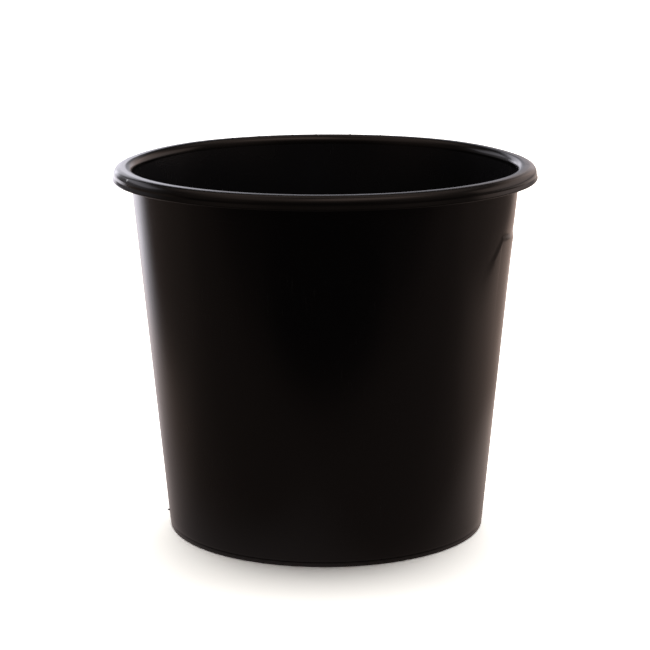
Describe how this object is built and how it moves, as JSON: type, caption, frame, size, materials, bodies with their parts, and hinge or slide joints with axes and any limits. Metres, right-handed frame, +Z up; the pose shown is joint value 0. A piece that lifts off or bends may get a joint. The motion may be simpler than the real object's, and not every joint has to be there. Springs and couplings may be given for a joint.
{
  "type": "florist bucket",
  "caption": "Round tapered black plastic flower bucket with a flat bottom, straight smooth wall and a rounded, turned-down rim.",
  "frame": {"origin": "centre of the circle that the bucket stands on, at the ground", "axes": "+Z up along the bucket's axis; the bucket is round, so +X and +Y are free"},
  "size_m": [0.285, 0.285, 0.249],
  "materials": {
    "black_plastic": "black moulded polyolefin, low gloss, lightly scuffed"
  },
  "bodies": {
    "root": {"foot_ring": "black_plastic", "floor_disc": "black_plastic", "gate_nub": "black_plastic", "corner_ring": "black_plastic", "side_wall": "black_plastic", "rim_roll": "black_plastic", "rim_skirt": "black_plastic"}
  },
  "joints": []
}
